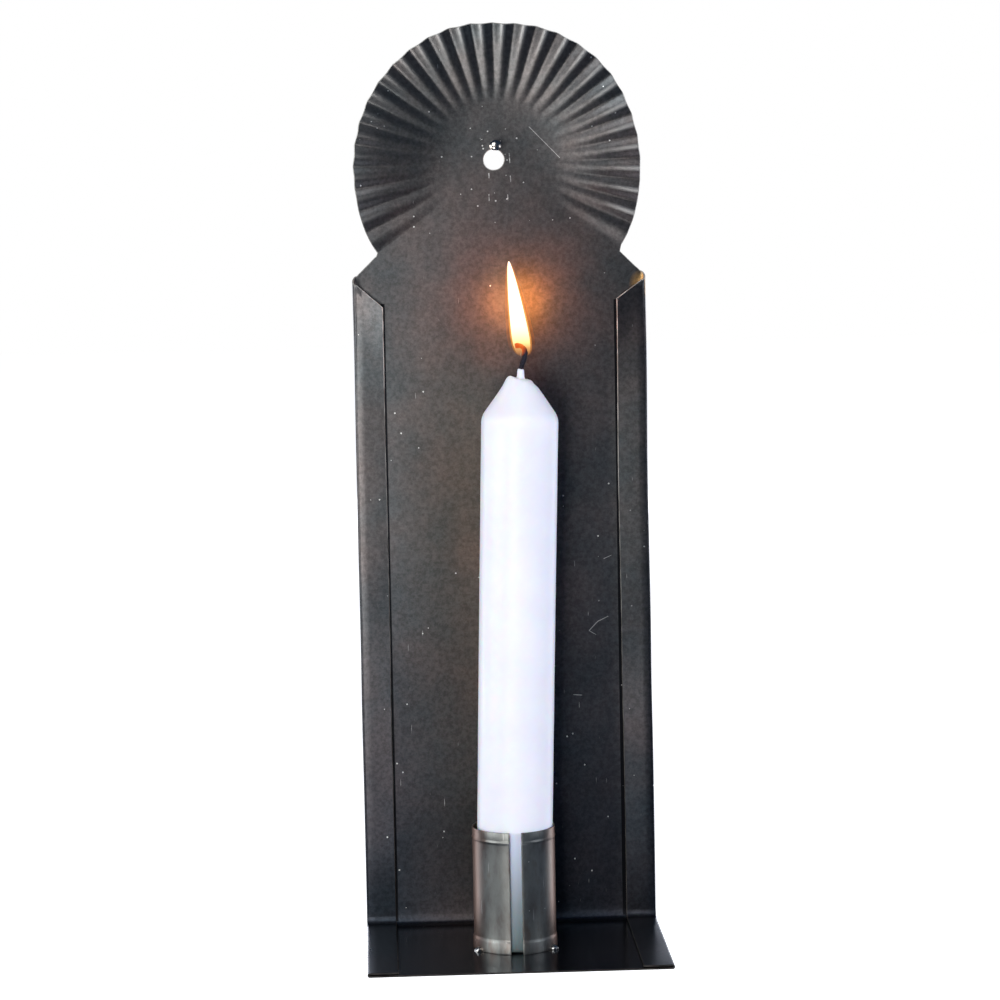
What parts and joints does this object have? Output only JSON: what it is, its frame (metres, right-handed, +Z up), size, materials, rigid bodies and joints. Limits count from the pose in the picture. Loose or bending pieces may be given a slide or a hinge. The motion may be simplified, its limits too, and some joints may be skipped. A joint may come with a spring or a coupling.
{
  "type": "candle sconce",
  "caption": "Tin wall sconce: crimped round head with a hanging hole, hemmed back bent forward as a shelf, split socket with a candle.",
  "frame": {"origin": "centre of the hanging hole, on the back face of the sheet", "axes": "+Z up, +X to the viewer's right, the back faces +Y and the shelf reaches towards -Y"},
  "size_m": [0.0865, 0.0609, 0.2688],
  "materials": {
    "blackened_tin": "semi-gloss, darkened tinplate",
    "dull_tin": "dull tinplate",
    "solder": "bright solder",
    "white_wax": "smooth wax",
    "charred_cotton": "charred cotton"
  },
  "bodies": {
    "sconce": {"sheet_body": "blackened_tin", "candle_socket": "dull_tin", "solder_tack_left": "solder", "solder_tack_right": "solder"},
    "candle": {"candle": "white_wax", "wick": "charred_cotton"}
  },
  "joints": [
    {"name": "candle_lift", "type": "slide", "parent": "sconce", "child": "candle", "axis": [0.027, 0, 0.9996], "range_m": [0, 0.04]}
  ]
}
